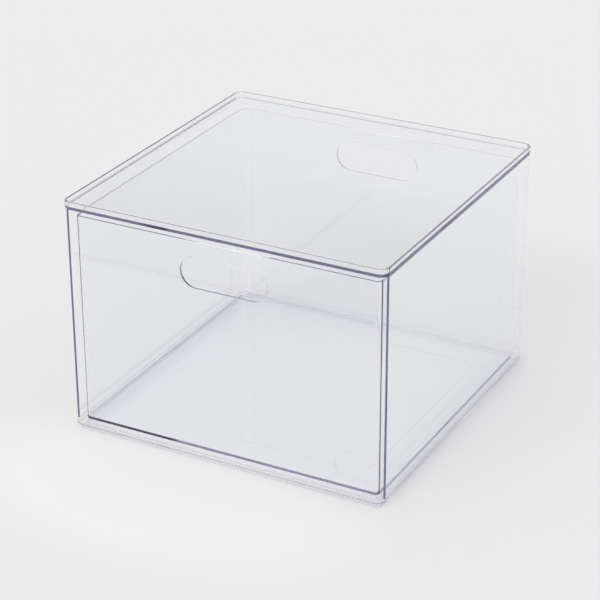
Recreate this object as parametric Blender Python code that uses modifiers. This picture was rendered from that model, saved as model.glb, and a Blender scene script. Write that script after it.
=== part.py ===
"""Clear stackable storage drawer.

An open-fronted case of clear moulded plastic, made of a base panel, a shell of
three walls and a top panel, with a one-piece bin that slides out through the
front. Units are metres. +X is to the right of someone facing the drawer, +Y
runs to the back and +Z is up. The origin is on the resting surface, under the
middle of the case.
"""

import math

import bmesh
import bpy
from mathutils import Vector

# Case, overall
CASE_WIDTH = 0.305
CASE_DEPTH = 0.305
CASE_HEIGHT = 0.220
CASE_CORNER_RADIUS = 0.0085

# Top panel: a plate with a raised rim that holds the foot of a unit stacked on it
TOP_PLATE = 0.0022
TOP_RIM_HEIGHT = 0.0052
TOP_RIM_WALL = 0.0020

# Base panel: a plate on a foot ring that drops inside the rim of the unit below
BASE_PLATE = 0.0020
FOOT_HEIGHT = 0.0052
FOOT_WALL = 0.0020
STACKING_CLEARANCE = 0.0015

# Shallow step that stiffens the middle of the base plate, cut into its underside
STEP_MARGIN_X = 0.0345
STEP_MARGIN_Y = 0.0395
STEP_DEPTH = 0.0006
STEP_CORNER_RADIUS = 0.0150

# Case shell: left, back and right walls in one piece
SHELL_WALL = 0.0020
SHELL_INSET = 0.0003
SHELL_FRONT_SETBACK = 0.0070

# Gap left where one piece seats on another
SEAT_GAP = 0.0003

# Drawer bin
DRAWER_WALL = 0.0020
DRAWER_FLOOR = 0.0020
DRAWER_SIDE_CLEARANCE = 0.0057
DRAWER_BACK_CLEARANCE = 0.0037
DRAWER_FRONT_RECESS = 0.0015
DRAWER_HEADROOM = 0.0081
DRAWER_INNER_RADIUS = 0.0080
DRAWER_FRONT_FILLET = 0.0025
DRAWER_FLOOR_FILLET = 0.0015
DRAWER_BOTTOM_RADIUS = 0.0015

# Finger slots in the bin's front and back walls
SLOT_LENGTH = 0.0830
SLOT_HEIGHT = 0.0290
SLOT_BELOW_RIM = 0.0140

# Fineness of the rounded shapes
CORNER_SEGMENTS = 8
EDGE_SEGMENTS = 3
SLOT_END_STEPS = 16

# Places worked out from the sizes above
HALF_WIDTH = CASE_WIDTH / 2
HALF_DEPTH = CASE_DEPTH / 2
BASE_TOP = FOOT_HEIGHT + BASE_PLATE
TOP_PLATE_UNDERSIDE = CASE_HEIGHT - TOP_RIM_HEIGHT - TOP_PLATE
SHELL_BOTTOM = BASE_TOP + SEAT_GAP
SHELL_TOP = TOP_PLATE_UNDERSIDE - SEAT_GAP
SHELL_HALF_WIDTH = HALF_WIDTH - SHELL_INSET
SHELL_BACK = HALF_DEPTH - SHELL_INSET
SHELL_FRONT = -HALF_DEPTH + SHELL_FRONT_SETBACK
DRAWER_HALF_WIDTH = SHELL_HALF_WIDTH - SHELL_WALL - DRAWER_SIDE_CLEARANCE
DRAWER_FRONT = SHELL_FRONT + DRAWER_FRONT_RECESS
DRAWER_BACK = SHELL_BACK - SHELL_WALL - DRAWER_BACK_CLEARANCE
DRAWER_BOTTOM = BASE_TOP + SEAT_GAP
DRAWER_TOP = TOP_PLATE_UNDERSIDE - DRAWER_HEADROOM
DRAWER_FRONT_RADIUS = DRAWER_FRONT_FILLET + DRAWER_WALL
DRAWER_BACK_RADIUS = DRAWER_INNER_RADIUS + DRAWER_WALL
SLOT_CENTRE_Z = DRAWER_TOP - SLOT_BELOW_RIM - SLOT_HEIGHT / 2
CUT_OVERRUN = 0.0100

PLASTIC_COLOUR = (0.93, 0.93, 0.97, 1.0)
PLASTIC_ROUGHNESS = 0.06
PLASTIC_IOR = 1.57


def clear_scene():
    """Remove every object that is already in the scene."""
    for old in list(bpy.data.objects):
        bpy.data.objects.remove(old, do_unlink=True)


def make_collection(name):
    """Return a new collection linked to the scene."""
    collection = bpy.data.collections.new(name)
    bpy.context.scene.collection.children.link(collection)
    return collection


def clear_plastic(name):
    """Return the clear plastic material of one piece."""
    material = bpy.data.materials.new(name)
    material.use_nodes = True
    shader = material.node_tree.nodes["Principled BSDF"]
    shader.inputs["Base Color"].default_value = PLASTIC_COLOUR
    shader.inputs["Roughness"].default_value = PLASTIC_ROUGHNESS
    shader.inputs["Metallic"].default_value = 0.0
    shader.inputs["IOR"].default_value = PLASTIC_IOR
    shader.inputs["Transmission Weight"].default_value = 1.0
    return material


def link_mesh(name, mesh, collection):
    """Return a new object that holds the mesh, in the collection."""
    thing = bpy.data.objects.new(name, mesh)
    collection.objects.link(thing)
    return thing


def is_vertical(edge):
    """Say whether an edge runs along Z."""
    first, second = (vertex.co for vertex in edge.verts)
    return abs(first.x - second.x) < 1e-6 and abs(first.y - second.y) < 1e-6


def round_edges(shape, edges, radius, segments):
    """Round the given edges of a bmesh."""
    bmesh.ops.bevel(shape, geom=edges, offset=radius, offset_type="OFFSET", segments=segments,
                    profile=0.5, affect="EDGES", clamp_overlap=True)


def block(low, high):
    """Return a bmesh box that fills the space between two corners."""
    shape = bmesh.new()
    bmesh.ops.create_cube(shape, size=1.0)
    middle = (low + high) / 2
    size = high - low
    bmesh.ops.scale(shape, vec=size, verts=shape.verts)
    bmesh.ops.translate(shape, vec=middle, verts=shape.verts)
    return shape


def to_mesh(shape, name):
    """Turn a bmesh into a mesh with its faces pointing out."""
    bmesh.ops.recalc_face_normals(shape, faces=shape.faces)
    mesh = bpy.data.meshes.new(name)
    shape.to_mesh(mesh)
    shape.free()
    return mesh


def rounded_slab(name, collection, half_width, half_depth, bottom, top, radius):
    """Return a box centred on the Z axis whose upright edges are rounded."""
    shape = block(Vector((-half_width, -half_depth, bottom)), Vector((half_width, half_depth, top)))
    upright = [edge for edge in shape.edges if is_vertical(edge)]
    round_edges(shape, upright, radius, CORNER_SEGMENTS)
    return link_mesh(name, to_mesh(shape, name), collection)


def as_cutter(thing):
    """Keep a shape as a guide for cuts, out of the render."""
    thing.hide_render = True
    thing.display_type = "WIRE"
    return thing


def combine(thing, tool, operation):
    """Cut the tool out of the object, or join it on."""
    modifier = thing.modifiers.new(tool.name, "BOOLEAN")
    modifier.operation = operation
    modifier.solver = "EXACT"
    modifier.object = tool
    as_cutter(tool)


def build_top_panel(parts, cutters):
    """Plate across the top with a raised rim round its edge."""
    panel = rounded_slab("top_panel", parts, HALF_WIDTH, HALF_DEPTH, TOP_PLATE_UNDERSIDE,
                         CASE_HEIGHT, CASE_CORNER_RADIUS)
    recess = rounded_slab("top_recess", cutters, HALF_WIDTH - TOP_RIM_WALL, HALF_DEPTH - TOP_RIM_WALL,
                          TOP_PLATE_UNDERSIDE + TOP_PLATE, CASE_HEIGHT + CUT_OVERRUN,
                          CASE_CORNER_RADIUS - TOP_RIM_WALL)
    combine(panel, recess, "DIFFERENCE")
    return panel


def build_base_panel(parts, cutters):
    """Plate under the drawer, raised on a foot ring that fits the rim below."""
    foot_inset = TOP_RIM_WALL + STACKING_CLEARANCE
    foot_radius = CASE_CORNER_RADIUS - foot_inset
    panel = rounded_slab("base_panel", parts, HALF_WIDTH, HALF_DEPTH, FOOT_HEIGHT, BASE_TOP,
                         CASE_CORNER_RADIUS)
    foot = rounded_slab("foot_block", cutters, HALF_WIDTH - foot_inset, HALF_DEPTH - foot_inset,
                        0.0, FOOT_HEIGHT + BASE_PLATE / 2, foot_radius)
    hollow_inset = foot_inset + FOOT_WALL
    hollow = rounded_slab("foot_hollow", cutters, HALF_WIDTH - hollow_inset,
                          HALF_DEPTH - hollow_inset, -CUT_OVERRUN, FOOT_HEIGHT,
                          foot_radius - FOOT_WALL)
    step = rounded_slab("plate_step", cutters, HALF_WIDTH - STEP_MARGIN_X,
                        HALF_DEPTH - STEP_MARGIN_Y, -CUT_OVERRUN, FOOT_HEIGHT + STEP_DEPTH,
                        STEP_CORNER_RADIUS)
    combine(panel, foot, "UNION")
    combine(panel, hollow, "DIFFERENCE")
    combine(panel, step, "DIFFERENCE")
    return panel


def build_case_shell(parts):
    """Left, back and right walls, bent round two rounded back corners."""
    shape = block(Vector((-SHELL_HALF_WIDTH, SHELL_FRONT, SHELL_BOTTOM)),
                  Vector((SHELL_HALF_WIDTH, SHELL_BACK, SHELL_TOP)))
    middle_y = (SHELL_FRONT + SHELL_BACK) / 2
    back_edges = [edge for edge in shape.edges
                  if is_vertical(edge) and edge.verts[0].co.y > middle_y]
    round_edges(shape, back_edges, CASE_CORNER_RADIUS - SHELL_INSET, CORNER_SEGMENTS)
    shape.normal_update()
    open_sides = [face for face in shape.faces
                  if abs(face.normal.z) > 0.9 or face.normal.y < -0.9]
    bmesh.ops.delete(shape, geom=open_sides, context="FACES")
    mesh = bpy.data.meshes.new("case_shell")
    shape.to_mesh(mesh)
    shape.free()
    shell = link_mesh("case_shell", mesh, parts)
    thickness = shell.modifiers.new("wall", "SOLIDIFY")
    thickness.thickness = SHELL_WALL
    thickness.offset = -1.0
    thickness.use_even_offset = True
    return shell


def drawer_block(parts):
    """Outside of the bin: rounded upright corners and a rounded lower edge."""
    shape = block(Vector((-DRAWER_HALF_WIDTH, DRAWER_FRONT, DRAWER_BOTTOM)),
                  Vector((DRAWER_HALF_WIDTH, DRAWER_BACK, DRAWER_TOP)))
    for end, radius in ((DRAWER_FRONT, DRAWER_FRONT_RADIUS), (DRAWER_BACK, DRAWER_BACK_RADIUS)):
        upright = [edge for edge in shape.edges
                   if is_vertical(edge) and abs(edge.verts[0].co.y - end) < 1e-6]
        round_edges(shape, upright, radius, CORNER_SEGMENTS)
    lower = [edge for edge in shape.edges
             if max(vertex.co.z for vertex in edge.verts) < DRAWER_BOTTOM + 1e-6]
    round_edges(shape, lower, DRAWER_BOTTOM_RADIUS, EDGE_SEGMENTS)
    return link_mesh("drawer", to_mesh(shape, "drawer"), parts)


def drawer_cavity(cutters):
    """Space inside the bin, with its upright corners and its floor edge filleted."""
    front_y = DRAWER_FRONT + DRAWER_WALL
    back_y = DRAWER_BACK - DRAWER_WALL
    floor_z = DRAWER_BOTTOM + DRAWER_FLOOR
    shape = block(Vector((-DRAWER_HALF_WIDTH + DRAWER_WALL, front_y, floor_z)),
                  Vector((DRAWER_HALF_WIDTH - DRAWER_WALL, back_y, DRAWER_TOP + CUT_OVERRUN)))
    for end, radius in ((back_y, DRAWER_INNER_RADIUS), (front_y, DRAWER_FRONT_FILLET)):
        upright = [edge for edge in shape.edges
                   if is_vertical(edge) and abs(edge.verts[0].co.y - end) < 1e-6]
        round_edges(shape, upright, radius, CORNER_SEGMENTS)
    lower = [edge for edge in shape.edges
             if max(vertex.co.z for vertex in edge.verts) < floor_z + 1e-6]
    round_edges(shape, lower, DRAWER_FLOOR_FILLET, EDGE_SEGMENTS)
    return link_mesh("drawer_cavity", to_mesh(shape, "drawer_cavity"), cutters)


def slot_cutter(name, cutters, wall_y):
    """Rod with round ends across one wall of the bin, as wide as the finger slot."""
    radius = SLOT_HEIGHT / 2
    reach = SLOT_LENGTH / 2 - radius
    curve = bpy.data.curves.new(name, "CURVE")
    curve.dimensions = "2D"
    curve.fill_mode = "BOTH"
    curve.extrude = DRAWER_INNER_RADIUS
    outline = []
    for side in (1, -1):
        for step in range(SLOT_END_STEPS + 1):
            angle = side * math.pi * (0.5 - step / SLOT_END_STEPS)
            outline.append((side * (reach + radius * math.cos(angle)), radius * math.sin(angle)))
    spline = curve.splines.new("POLY")
    spline.points.add(len(outline) - 1)
    for point, (x, z) in zip(spline.points, outline):
        point.co = (x, z, 0.0, 1.0)
    spline.use_cyclic_u = True
    drawn = bpy.data.objects.new(name + "_outline", curve)
    cutters.objects.link(drawn)
    drawn.location = (0.0, wall_y, SLOT_CENTRE_Z)
    drawn.rotation_euler = (math.pi / 2, 0.0, 0.0)
    bpy.context.view_layer.update()
    depsgraph = bpy.context.evaluated_depsgraph_get()
    mesh = bpy.data.meshes.new_from_object(drawn.evaluated_get(depsgraph))
    shape = bmesh.new()
    shape.from_mesh(mesh)
    bmesh.ops.remove_doubles(shape, verts=shape.verts, dist=1e-6)
    bmesh.ops.recalc_face_normals(shape, faces=shape.faces)
    shape.to_mesh(mesh)
    shape.free()
    cutter = link_mesh(name, mesh, cutters)
    cutter.matrix_world = drawn.matrix_world.copy()
    bpy.data.objects.remove(drawn, do_unlink=True)
    return cutter


def build_drawer(parts, cutters):
    """One-piece bin with a finger slot at each end."""
    bin_body = drawer_block(parts)
    combine(bin_body, drawer_cavity(cutters), "DIFFERENCE")
    combine(bin_body, slot_cutter("front_slot", cutters, DRAWER_FRONT), "DIFFERENCE")
    combine(bin_body, slot_cutter("back_slot", cutters, DRAWER_BACK), "DIFFERENCE")
    return bin_body


def put_on_slide(drawer, parts):
    """Hang the bin on an empty that lies on its line of travel."""
    slide = bpy.data.objects.new("drawer_slide", None)
    parts.objects.link(slide)
    slide.location = (0.0, DRAWER_FRONT, DRAWER_BOTTOM)
    bpy.context.view_layer.update()
    drawer.parent = slide
    drawer.matrix_parent_inverse = slide.matrix_world.inverted()


def main():
    """Build the case and its drawer."""
    clear_scene()
    parts = make_collection("storage_drawer")
    cutters = make_collection("cutters")
    top_panel = build_top_panel(parts, cutters)
    base_panel = build_base_panel(parts, cutters)
    case_shell = build_case_shell(parts)
    drawer = build_drawer(parts, cutters)
    put_on_slide(drawer, parts)
    for piece in (top_panel, base_panel, case_shell, drawer):
        piece.data.materials.append(clear_plastic(piece.name + "_plastic"))
        piece.data.shade_smooth()
        piece.data.set_sharp_from_angle(angle=math.radians(35.0))


main()
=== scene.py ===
"""Looks of the clear stackable storage drawer: refined pieces, clear plastic, studio and camera.

Units are metres. +X is to the right of someone facing the drawer, +Y runs to the back, +Z is up.
"""

import math
from collections import namedtuple

import bmesh
import bpy
from mathutils import Matrix, Vector


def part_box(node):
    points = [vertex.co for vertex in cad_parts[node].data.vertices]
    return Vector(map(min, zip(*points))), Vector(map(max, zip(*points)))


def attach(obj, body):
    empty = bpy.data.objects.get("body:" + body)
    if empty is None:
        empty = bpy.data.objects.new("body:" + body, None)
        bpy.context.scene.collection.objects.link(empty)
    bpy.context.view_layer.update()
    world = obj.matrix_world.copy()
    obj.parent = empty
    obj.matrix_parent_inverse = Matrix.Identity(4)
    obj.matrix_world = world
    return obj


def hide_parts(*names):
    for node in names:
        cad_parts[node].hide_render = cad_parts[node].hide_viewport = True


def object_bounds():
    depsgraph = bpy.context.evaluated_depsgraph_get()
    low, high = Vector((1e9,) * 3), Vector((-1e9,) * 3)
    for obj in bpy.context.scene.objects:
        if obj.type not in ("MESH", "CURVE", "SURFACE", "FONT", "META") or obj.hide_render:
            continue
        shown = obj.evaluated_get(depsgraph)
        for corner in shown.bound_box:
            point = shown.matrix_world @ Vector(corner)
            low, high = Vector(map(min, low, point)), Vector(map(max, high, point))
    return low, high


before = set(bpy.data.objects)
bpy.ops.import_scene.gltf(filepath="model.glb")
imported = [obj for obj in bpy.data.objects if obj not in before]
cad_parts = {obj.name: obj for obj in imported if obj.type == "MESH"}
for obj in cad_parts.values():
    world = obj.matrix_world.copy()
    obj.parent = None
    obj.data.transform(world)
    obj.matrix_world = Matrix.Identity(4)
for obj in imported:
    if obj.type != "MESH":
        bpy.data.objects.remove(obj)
CAD_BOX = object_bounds()

# Camera, fitted to the corners of the case
CAMERA_POSITION = (0.7789, -1.4749, 0.9037)
CAMERA_YAW = math.radians(-27.982)
CAMERA_PITCH = math.radians(25.860)
CAMERA_ROLL = math.radians(-0.170)
CAMERA_LENS = 123.74
SENSOR = 36.0

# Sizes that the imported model's boxes don't give
RIM_WALL = 0.0020
CASE_RADIUS = 0.0085
TOP_PLATE = 0.0022
RECESS_RADIUS = 0.0008
BASE_PLATE = 0.0020
FOOT_INSET = 0.0035
FOOT_WALL = 0.0020
STEP_MARGIN_X = 0.0345
STEP_MARGIN_Y = 0.0395
STEP_DEPTH = 0.0006
STEP_RADIUS = 0.0150
SHELL_WALL = 0.0020
SHELL_INSET = 0.0003
DRAWER_WALL = 0.0020
DRAWER_FLOOR = 0.0020
DRAWER_FRONT_RADIUS = 0.0045
DRAWER_BACK_RADIUS = 0.0100
DRAWER_BOTTOM_RADIUS = 0.0015
DRAWER_INNER_RADIUS = 0.0080
DRAWER_FRONT_FILLET = 0.0025
DRAWER_FLOOR_FILLET = 0.0015
SLOT_LENGTH = 0.0830
SLOT_HEIGHT = 0.0290
SLOT_BELOW_RIM = 0.0140
OVERRUN = 0.0100

# Moulded edges: radii, and the steps that each round is made of
EDGE_RADIUS = 0.00045
LID_EDGE = 0.0008
BASE_EDGE = 0.0003
FRONT_SLOT_EDGE = 0.0002
EDGE_SEGMENTS = 3
RECESS_SEGMENTS = 4
FLOOR_SEGMENTS = 5
FRONT_SEGMENTS = 10
CORNER_SEGMENTS = 16
SLOT_END_STEPS = 32
SHARP_ANGLE = math.radians(40.0)
SMOOTH_ANGLE = math.radians(38.0)
FLAT_WEIGHT = 50
NEAR = 1e-6
FACING = 0.9


def block(low, high):
    """Return a bmesh box between two corners."""
    shape = bmesh.new()
    bmesh.ops.create_cube(shape, size=1.0)
    bmesh.ops.scale(shape, vec=high - low, verts=shape.verts)
    bmesh.ops.translate(shape, vec=(low + high) / 2, verts=shape.verts)
    return shape


def is_vertical(edge):
    """Say whether an edge runs along Z."""
    first, second = (vertex.co for vertex in edge.verts)
    return abs(first.x - second.x) < NEAR and abs(first.y - second.y) < NEAR


def upright_edges(shape, y=None):
    """Return the upright edges of a bmesh, or only those at one Y."""
    return [edge for edge in shape.edges
            if is_vertical(edge) and (y is None or abs(edge.verts[0].co.y - y) < NEAR)]


def lowest_edges(shape, z):
    """Return the edges of a bmesh that lie in its floor."""
    return [edge for edge in shape.edges
            if max(vertex.co.z for vertex in edge.verts) < z + NEAR]


def round_edges(shape, edges, radius, segments):
    """Round the given edges of a bmesh."""
    bmesh.ops.bevel(shape, geom=edges, offset=radius, offset_type="OFFSET", segments=segments,
                    profile=0.5, affect="EDGES", clamp_overlap=True)


def add_to_scene(shape, name):
    """Turn a bmesh, with its normals as they are, into an object of the scene."""
    mesh = bpy.data.meshes.new(name)
    shape.to_mesh(mesh)
    shape.free()
    thing = bpy.data.objects.new(name, mesh)
    bpy.context.scene.collection.objects.link(thing)
    return thing


def to_object(shape, name):
    """Turn a closed bmesh into an object of the scene."""
    bmesh.ops.recalc_face_normals(shape, faces=shape.faces)
    return add_to_scene(shape, name)


def slab(name, half_x, half_y, bottom, top, radius, floor_radius=0.0):
    """Return a box round the Z axis with rounded upright edges and, if asked, a rounded floor."""
    shape = block(Vector((-half_x, -half_y, bottom)), Vector((half_x, half_y, top)))
    round_edges(shape, upright_edges(shape), radius, CORNER_SEGMENTS)
    if floor_radius:
        round_edges(shape, lowest_edges(shape, bottom), floor_radius, RECESS_SEGMENTS)
    return to_object(shape, name)


def settle(thing):
    """Apply a piece's modifiers to its mesh."""
    bpy.context.view_layer.update()
    depsgraph = bpy.context.evaluated_depsgraph_get()
    mesh = bpy.data.meshes.new_from_object(thing.evaluated_get(depsgraph))
    thing.modifiers.clear()
    thing.data = mesh


def combine(thing, tool, operation):
    """Cut the tool out of the piece, or join it on, and throw the tool away."""
    modifier = thing.modifiers.new("combine", "BOOLEAN")
    modifier.operation = operation
    modifier.solver = "EXACT"
    modifier.object = tool
    settle(thing)
    bpy.data.objects.remove(tool, do_unlink=True)


def round_sharp(thing, radius):
    """Round every sharp edge of a piece a little."""
    bevel = thing.modifiers.new("moulded_edges", "BEVEL")
    bevel.width = radius
    bevel.segments = EDGE_SEGMENTS
    bevel.limit_method = "ANGLE"
    bevel.angle_limit = SHARP_ANGLE
    bevel.use_clamp_overlap = True
    settle(thing)


def soften(thing, radius):
    """Round every sharp moulded edge a little and keep the flat faces flat."""
    round_sharp(thing, radius)
    thing.data.shade_smooth()
    thing.data.set_sharp_from_angle(angle=SMOOTH_ANGLE)
    weighted = thing.modifiers.new("flat_faces", "WEIGHTED_NORMAL")
    weighted.mode = "FACE_AREA"
    weighted.weight = FLAT_WEIGHT
    weighted.keep_sharp = True
    return thing


def top_panel():
    """Lid plate with its raised rim."""
    low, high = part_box("top_panel")
    panel = slab("lid", high.x, high.y, low.z, high.z, CASE_RADIUS)
    recess = slab("recess", high.x - RIM_WALL, high.y - RIM_WALL, low.z + TOP_PLATE,
                  high.z + OVERRUN, CASE_RADIUS - RIM_WALL, RECESS_RADIUS)
    combine(panel, recess, "DIFFERENCE")
    return soften(panel, LID_EDGE)


def base_panel():
    """Base plate with its foot ring and the shallow step in its underside."""
    low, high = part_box("base_panel")
    plate_bottom = high.z - BASE_PLATE
    foot_radius = CASE_RADIUS - FOOT_INSET
    panel = slab("base", high.x, high.y, plate_bottom, high.z, CASE_RADIUS)
    foot = slab("foot", high.x - FOOT_INSET, high.y - FOOT_INSET, low.z,
                plate_bottom + BASE_PLATE / 2, foot_radius)
    inset = FOOT_INSET + FOOT_WALL
    hollow = slab("hollow", high.x - inset, high.y - inset, -OVERRUN, plate_bottom,
                  foot_radius - FOOT_WALL)
    step = slab("step", high.x - STEP_MARGIN_X, high.y - STEP_MARGIN_Y, -OVERRUN,
                plate_bottom + STEP_DEPTH, STEP_RADIUS)
    combine(panel, foot, "UNION")
    combine(panel, hollow, "DIFFERENCE")
    combine(panel, step, "DIFFERENCE")
    return soften(panel, BASE_EDGE)


def case_shell():
    """Left, back and right walls in one moulding."""
    low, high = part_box("case_shell")
    shape = block(low, high)
    round_edges(shape, upright_edges(shape, high.y), CASE_RADIUS - SHELL_INSET, CORNER_SEGMENTS)
    shape.normal_update()
    open_sides = [face for face in shape.faces
                  if abs(face.normal.z) > FACING or face.normal.y < -FACING]
    bmesh.ops.delete(shape, geom=open_sides, context="FACES")
    shell = add_to_scene(shape, "shell")
    thickness = shell.modifiers.new("wall", "SOLIDIFY")
    thickness.thickness = SHELL_WALL
    thickness.offset = -1.0
    thickness.use_even_offset = True
    settle(shell)
    return soften(shell, EDGE_RADIUS)


def cavity(low, high):
    """Space inside the bin, with its upright corners and its floor edge filleted."""
    front_y = low.y + DRAWER_WALL
    back_y = high.y - DRAWER_WALL
    floor_z = low.z + DRAWER_FLOOR
    shape = block(Vector((low.x + DRAWER_WALL, front_y, floor_z)),
                  Vector((high.x - DRAWER_WALL, back_y, high.z + OVERRUN)))
    for end, radius in ((back_y, DRAWER_INNER_RADIUS), (front_y, DRAWER_FRONT_FILLET)):
        round_edges(shape, upright_edges(shape, end), radius, CORNER_SEGMENTS)
    round_edges(shape, lowest_edges(shape, floor_z), DRAWER_FLOOR_FILLET, FLOOR_SEGMENTS)
    return to_object(shape, "cavity")


def slot_tool(wall_y, centre_z):
    """Rod with round ends across one wall of the bin."""
    radius = SLOT_HEIGHT / 2
    reach = SLOT_LENGTH / 2 - radius
    shape = bmesh.new()
    ring = []
    for side in (1, -1):
        for step in range(SLOT_END_STEPS + 1):
            angle = side * math.pi * (0.5 - step / SLOT_END_STEPS)
            ring.append(shape.verts.new((side * (reach + radius * math.cos(angle)),
                                         wall_y - DRAWER_INNER_RADIUS,
                                         centre_z + radius * math.sin(angle))))
    cap = shape.faces.new(ring)
    swept = bmesh.ops.extrude_face_region(shape, geom=[cap])
    moved = [item for item in swept["geom"] if isinstance(item, bmesh.types.BMVert)]
    bmesh.ops.translate(shape, vec=(0, 2 * DRAWER_INNER_RADIUS, 0), verts=moved)
    return to_object(shape, "slot")


def drawer_bin():
    """One-piece bin with its finger slots, the front one with the crisper edge."""
    low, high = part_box("drawer")
    shape = block(low, high)
    round_edges(shape, upright_edges(shape, low.y), DRAWER_FRONT_RADIUS, FRONT_SEGMENTS)
    round_edges(shape, upright_edges(shape, high.y), DRAWER_BACK_RADIUS, CORNER_SEGMENTS)
    round_edges(shape, lowest_edges(shape, low.z), DRAWER_BOTTOM_RADIUS, FLOOR_SEGMENTS)
    body = to_object(shape, "bin")
    centre_z = high.z - SLOT_BELOW_RIM - SLOT_HEIGHT / 2
    combine(body, cavity(low, high), "DIFFERENCE")
    combine(body, slot_tool(high.y, centre_z), "DIFFERENCE")
    round_sharp(body, EDGE_RADIUS)
    combine(body, slot_tool(low.y, centre_z), "DIFFERENCE")
    return soften(body, FRONT_SLOT_EDGE)


# Sockets of the colour Mix node, which share their names with hidden ones
MIX_A = 6
MIX_B = 7
MIX_RESULT = 2


class Graph:
    """Nodes of a material or world, with short ways to add to them."""

    def __init__(self, owner):
        owner.use_nodes = True
        self.nodes = owner.node_tree.nodes
        self.links = owner.node_tree.links

    def put(self, socket, value):
        """Link an output to a socket, or set the socket's own value."""
        if isinstance(value, bpy.types.NodeSocket):
            self.links.new(value, socket)
        else:
            socket.default_value = value

    def fill(self, node, values):
        """Fill a node's inputs, given by name or number."""
        for key, value in values.items():
            self.put(node.inputs[key], value)

    def add(self, kind, values, **options):
        """Add a node with its options and inputs."""
        node = self.nodes.new("ShaderNode" + kind)
        for name, option in options.items():
            setattr(node, name, option)
        self.fill(node, values)
        return node

    def maths(self, operation, *sources):
        """Work out a number from other numbers."""
        return self.add("Math", dict(enumerate(sources)), operation=operation).outputs[0]

    def ramp(self, source, low, high):
        """Rise from 0 to 1 while the source goes from one value to another."""
        values = {"Value": source, "From Min": low, "From Max": high}
        return self.add("MapRange", values).outputs["Result"]

    def blend(self, share, low, high):
        """Mix two colours."""
        values = {0: share, MIX_A: low, MIX_B: high}
        return self.add("Mix", values, data_type="RGBA").outputs[MIX_RESULT]

    def noise(self, where, scale, detail):
        """Soft noise at a place."""
        values = {"Vector": where, "Scale": scale, "Detail": detail}
        return self.add("TexNoise", values).outputs["Fac"]

    def bump(self, height, strength, distance, **under):
        """Relief from a height, on top of another relief if one is given."""
        values = {"Height": height, "Strength": strength, "Distance": distance, **under}
        return self.add("Bump", values).outputs["Normal"]


# Clear plastic
INDEX = 1.57
ABSORB = (0.18, 0.14, 0.42, 1.0)
SHELL_ABSORB = (0.20, 0.16, 0.47, 1.0)
HUES = ((0.986, 0.991, 1.0, 1.0), (0.992, 0.995, 1.0, 1.0))
NOISE_SHIFT = (0.37, 0.91, 0.53)
HAZE_SCALE, HAZE_DETAIL = 22.0, 4.0
HAZE_RANGE = (0.35, 0.70)
ROUGHNESS = (0.004, 0.035)
FLOW_SCALE, FLOW_DETAIL = 9.0, 1.5
FLOW_STRENGTH, FLOW_DISTANCE = 0.35, 0.0006
GRAIN_SCALE, GRAIN_DETAIL = 420.0, 2.0
GRAIN_STRENGTH, GRAIN_DISTANCE = 0.05, 0.00002

# Share of a lamp's light that gets through. Walls have the tint in the table of pieces, with these
# shifts in green and blue. Below LOW_ZONE it is FLOOR_TINT, and RIM_TINT near the case's edge.
WALL_SHIFT = (0.001, 0.004)
FLOOR_TINT = (0.990, 0.990, 0.991, 1.0)
RIM_TINT = (0.915, 0.915, 0.930, 1.0)
LOW_ZONE = 0.0125
LOW_ZONE_FADE = 0.0010
RIM_ZONE_X = 0.0150
RIM_ZONE_Y = 0.0090
RIM_ZONE_FADE = 0.0020

# Wear: how clear the worn edges still are, and where they lie, each span from no wear to full wear
WORN_CLEARNESS = 0.55
RIM_SPAN = (-0.0006, -0.0003)
BEHIND_FRONT = (0.005, 0.008)
GRIP_SPAN = (0.040, 0.034)
SLOT_OUTER = (-0.0004, -0.0005)
SLOT_INNER = (0.0003, 0.0004)
SLOT_SPAN = (0.002, 0.001)


def from_place(place, span):
    """Return a span counted from a place."""
    return place + span[0], place + span[1]


def worn_share(graph, spot):
    """Share of wear: the bin's rim, except beside the front grip, and the back slot's edge."""
    low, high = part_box("drawer")
    across = graph.maths("ABSOLUTE", spot["X"])
    rim = graph.ramp(spot["Z"], *from_place(high.z, RIM_SPAN))
    behind = graph.ramp(spot["Y"], *from_place(low.y, BEHIND_FRONT))
    grip = graph.ramp(across, *GRIP_SPAN)
    rim = graph.maths("MULTIPLY", rim, graph.maths("MAXIMUM", behind, grip))
    outer = graph.ramp(spot["Y"], *from_place(high.y, SLOT_OUTER))
    inner = graph.ramp(spot["Y"], *from_place(high.y - DRAWER_WALL, SLOT_INNER))
    beside = graph.ramp(across, *from_place(SLOT_LENGTH / 2, SLOT_SPAN))
    slot = graph.maths("MULTIPLY", graph.maths("MULTIPLY", outer, inner), beside)
    return graph.maths("MAXIMUM", rim, slot)


def lamp_tint(graph, spot, tint):
    """Colour that a lamp's light keeps through a piece, by height and nearness to the edge."""
    edge_x = CAD_BOX[1][0] - RIM_ZONE_X
    edge_y = CAD_BOX[1][1] - RIM_ZONE_Y
    near_x = graph.ramp(graph.maths("ABSOLUTE", spot["X"]),
                        edge_x - RIM_ZONE_FADE, edge_x + RIM_ZONE_FADE)
    near_y = graph.ramp(graph.maths("ABSOLUTE", spot["Y"]),
                        edge_y - RIM_ZONE_FADE, edge_y + RIM_ZONE_FADE)
    above = graph.ramp(spot["Z"], LOW_ZONE - LOW_ZONE_FADE, LOW_ZONE)
    low_part = graph.blend(graph.maths("MAXIMUM", near_x, near_y), FLOOR_TINT, RIM_TINT)
    wall_part = (tint, tint + WALL_SHIFT[0], tint + WALL_SHIFT[1], 1.0)
    return graph.blend(above, low_part, wall_part)


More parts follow.
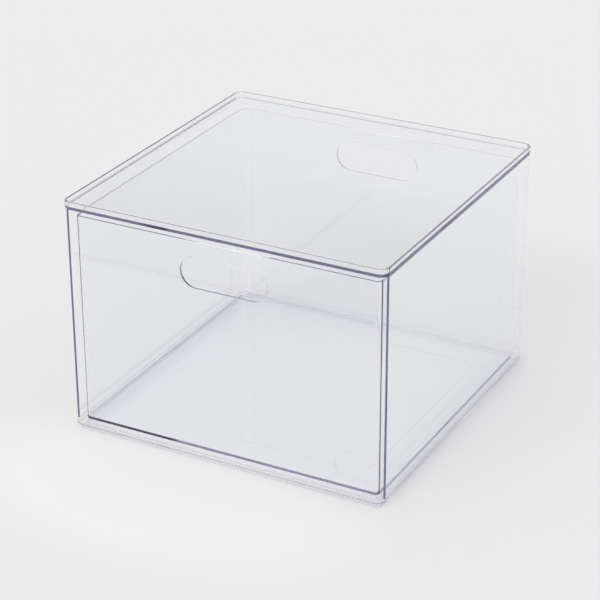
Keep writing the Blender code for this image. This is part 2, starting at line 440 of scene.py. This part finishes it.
def clear_plastic(name, seed, look):
    """Clear moulded plastic: glossy, faintly violet in depth, with flow waves and handling haze."""
    material = bpy.data.materials.new(name)
    graph = Graph(material)
    where = graph.add("TexCoord", {}).outputs["Object"]
    spot = graph.add("SeparateXYZ", {0: where}).outputs
    shift = tuple(seed * share for share in NOISE_SHIFT)
    place = graph.add("Mapping", {"Vector": where, "Location": shift}).outputs["Vector"]
    haze = graph.noise(place, HAZE_SCALE, HAZE_DETAIL)
    flow = graph.noise(place, FLOW_SCALE, FLOW_DETAIL)
    grain = graph.noise(place, GRAIN_SCALE, GRAIN_DETAIL)
    rough = graph.add("MapRange", {"Value": haze,
                                   "From Min": HAZE_RANGE[0], "From Max": HAZE_RANGE[1],
                                   "To Min": ROUGHNESS[0], "To Max": ROUGHNESS[1]})
    waves = graph.bump(flow, FLOW_STRENGTH * look.ripple, FLOW_DISTANCE)
    relief = graph.bump(grain, GRAIN_STRENGTH * look.ripple, GRAIN_DISTANCE, Normal=waves)
    clearness = 1.0
    if look.worn:
        clearness = graph.add("MapRange", {"Value": worn_share(graph, spot), "To Min": 1.0,
                                           "To Max": WORN_CLEARNESS}).outputs["Result"]
    shader = graph.nodes["Principled BSDF"]
    graph.fill(shader, {"IOR": INDEX, "Transmission Weight": clearness, "Normal": relief,
                        "Roughness": rough.outputs["Result"],
                        "Base Color": graph.blend(haze, *HUES)})

    # Lamps reach through the plastic, as they do in the real thing
    clear = graph.add("BsdfTransparent", {"Color": lamp_tint(graph, spot, look.tint)})
    path = graph.add("LightPath", {}).outputs
    lit = graph.maths("MAXIMUM", path["Is Shadow Ray"], path["Is Diffuse Ray"])
    surface = graph.add("MixShader", {0: lit, 1: shader.outputs[0], 2: clear.outputs[0]})
    depth = graph.add("VolumeAbsorption", {"Color": look.absorb, "Density": look.density})
    graph.fill(graph.nodes["Material Output"],
               {"Surface": surface.outputs[0], "Volume": depth.outputs[0]})
    return material


# Absorption colour and density, share of lamp light kept, strength of the waves, worn edges
Look = namedtuple("Look", "absorb density tint ripple worn")
TOP_LOOK = Look(ABSORB, 6.0, 0.980, 1.0, False)
BASE_LOOK = Look(ABSORB, 1.2, 0.980, 0.3, False)
SHELL_LOOK = Look(SHELL_ABSORB, 2.0, 0.966, 1.0, False)
DRAWER_LOOK = Look(ABSORB, 4.2, 0.966, 1.0, True)
PIECES = (
    (top_panel, "top_panel", "case", "top_plastic", TOP_LOOK),
    (base_panel, "base_panel", "case", "base_plastic", BASE_LOOK),
    (case_shell, "case_shell", "case", "shell_plastic", SHELL_LOOK),
    (drawer_bin, "drawer", "drawer_bin", "drawer_plastic", DRAWER_LOOK),
)

for number, (build, node, body, slot, look) in enumerate(PIECES, start=1):
    piece = build()
    piece.data.materials.clear()
    piece.data.materials.append(clear_plastic(slot, number, look))
    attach(piece, body)
    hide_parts(node)


# Studio: the floor, with a painted patch of light before the front wall, the world and the lamps
FLOOR_COLOUR = (0.84, 0.84, 0.84, 1.0)
FLOOR_HALF = 12.0
FLOOR_CELLS = 8
FLOOR_ROUGHNESS = 0.9
# Painted light: a lighter floor colour in a soft patch before the front wall, standing in for light
# that the wall throws back
PAINTED_LIGHT_COLOUR = (0.895, 0.895, 0.895, 1.0)
PAINTED_LIGHT_CENTRE = (-0.03, -0.215, 0.0)
PAINTED_LIGHT_REACH = (0.23, 0.125, 1.0)
PAINTED_LIGHT_FULL = 0.5
WORLD_COLOUR = (0.6, 0.6, 0.6, 1.0)
ROOM_COLOUR = (0.66, 0.66, 0.67, 1.0)
CEILING_COLOUR = (0.95, 0.95, 0.95, 1.0)
BACKDROP_EDGE = (0.0588, -0.3968, 0.9160)
ROOM_FADE = (-0.006, 0.02)
CEILING_FADE = (0.045, 0.085)
KEY_SHARE = 0.4
KEY_SPREAD = math.radians(16.0)
KEY_DISTANCE = 3.0
KEY_ELEVATION = math.radians(39.0)
KEY_AZIMUTHS = tuple(math.radians(angle) for angle in (-2.0, 12.0, 26.0))


def studio_floor():
    """Wide pale floor, with a painted pool of light: a lighter colour before the front wall,
    standing in for the light that the wall throws back on it.
    """
    shape = bmesh.new()
    bmesh.ops.create_grid(shape, x_segments=FLOOR_CELLS, y_segments=FLOOR_CELLS, size=FLOOR_HALF)
    floor = to_object(shape, "floor")
    material = bpy.data.materials.new("studio_floor")
    graph = Graph(material)
    where = graph.add("TexCoord", {}).outputs["Object"]
    # Painted pool of light: the floor's colour turns lighter towards the centre of the patch before
    # the front wall
    place = graph.add("Mapping", {"Location": PAINTED_LIGHT_CENTRE, "Scale": PAINTED_LIGHT_REACH, "Vector": where},
                      vector_type="TEXTURE")
    painted_light_patch = graph.add("TexGradient", {"Vector": place.outputs["Vector"]},
                     gradient_type="SPHERICAL")
    share = graph.add("MapRange", {"Value": painted_light_patch.outputs["Fac"], "From Max": PAINTED_LIGHT_FULL},
                      interpolation_type="SMOOTHSTEP")
    colour = graph.blend(share.outputs["Result"], FLOOR_COLOUR, PAINTED_LIGHT_COLOUR)
    graph.fill(graph.nodes["Principled BSDF"], {"Base Color": colour, "Specular IOR Level": 0.0,
                                                "Roughness": FLOOR_ROUGHNESS})
    floor.data.materials.append(material)


def studio_world():
    """Even pale light from all round.

    The camera, reflections and the view through the plastic see a pale room instead of it.
    """
    world = bpy.data.worlds.new("studio")
    bpy.context.scene.world = world
    graph = Graph(world)
    path = graph.add("LightPath", {}).outputs
    seen = graph.maths("MAXIMUM", path["Is Camera Ray"], path["Is Glossy Ray"])
    seen = graph.maths("MAXIMUM", seen, path["Is Transmission Ray"])
    towards = graph.add("TexCoord", {}).outputs["Generated"]
    height = graph.add("VectorMath", {0: towards, 1: BACKDROP_EDGE}, operation="DOT_PRODUCT")
    height = height.outputs["Value"]
    room = graph.blend(graph.ramp(height, *ROOM_FADE), FLOOR_COLOUR, ROOM_COLOUR)
    room = graph.blend(graph.ramp(height, *CEILING_FADE), room, CEILING_COLOUR)
    colour = graph.blend(seen, WORLD_COLOUR, room)
    graph.fill(graph.nodes["Background"], {"Color": colour, "Strength": 1.0})


def key_lamps():
    """Wide soft light from the front left, as even lamps side by side."""
    for number, azimuth in enumerate(KEY_AZIMUTHS):
        light = bpy.data.lights.new("key_%d" % number, "SUN")
        light.angle = KEY_SPREAD
        light.energy = KEY_SHARE / len(KEY_AZIMUTHS) * math.pi / math.sin(KEY_ELEVATION)
        lamp = bpy.data.objects.new(light.name, light)
        bpy.context.scene.collection.objects.link(lamp)
        aim = Vector((-math.sin(azimuth) * math.cos(KEY_ELEVATION),
                      -math.cos(azimuth) * math.cos(KEY_ELEVATION), math.sin(KEY_ELEVATION)))
        lamp.rotation_euler = aim.to_track_quat("Z", "Y").to_euler()
        lamp.location = aim * KEY_DISTANCE
        lamp.visible_glossy = False
        lamp.visible_transmission = False


def camera():
    """Camera at the measured place, level apart from a slight roll."""
    forward = Vector((math.sin(CAMERA_YAW) * math.cos(CAMERA_PITCH),
                      math.cos(CAMERA_YAW) * math.cos(CAMERA_PITCH), -math.sin(CAMERA_PITCH)))
    right = Vector((math.cos(CAMERA_YAW), -math.sin(CAMERA_YAW), 0.0))
    up = right.cross(forward)
    turned_right = math.cos(CAMERA_ROLL) * right + math.sin(CAMERA_ROLL) * up
    turned_up = math.cos(CAMERA_ROLL) * up - math.sin(CAMERA_ROLL) * right
    data = bpy.data.cameras.new("camera")
    data.lens = CAMERA_LENS
    data.sensor_width = SENSOR
    thing = bpy.data.objects.new("camera", data)
    bpy.context.scene.collection.objects.link(thing)
    turn = Matrix((turned_right, turned_up, -forward)).transposed().to_4x4()
    thing.matrix_world = Matrix.Translation(CAMERA_POSITION) @ turn
    bpy.context.scene.camera = thing


studio_floor()
studio_world()
key_lamps()
camera()

# Light guided along the plates needs many bounces
PLATE_BOUNCES = 256
SHADOW_LAYERS = 48
scene = bpy.context.scene
scene.view_settings.view_transform = "Standard"
scene.cycles.max_bounces = PLATE_BOUNCES
scene.cycles.glossy_bounces = PLATE_BOUNCES
scene.cycles.transmission_bounces = PLATE_BOUNCES
scene.cycles.transparent_max_bounces = SHADOW_LAYERS
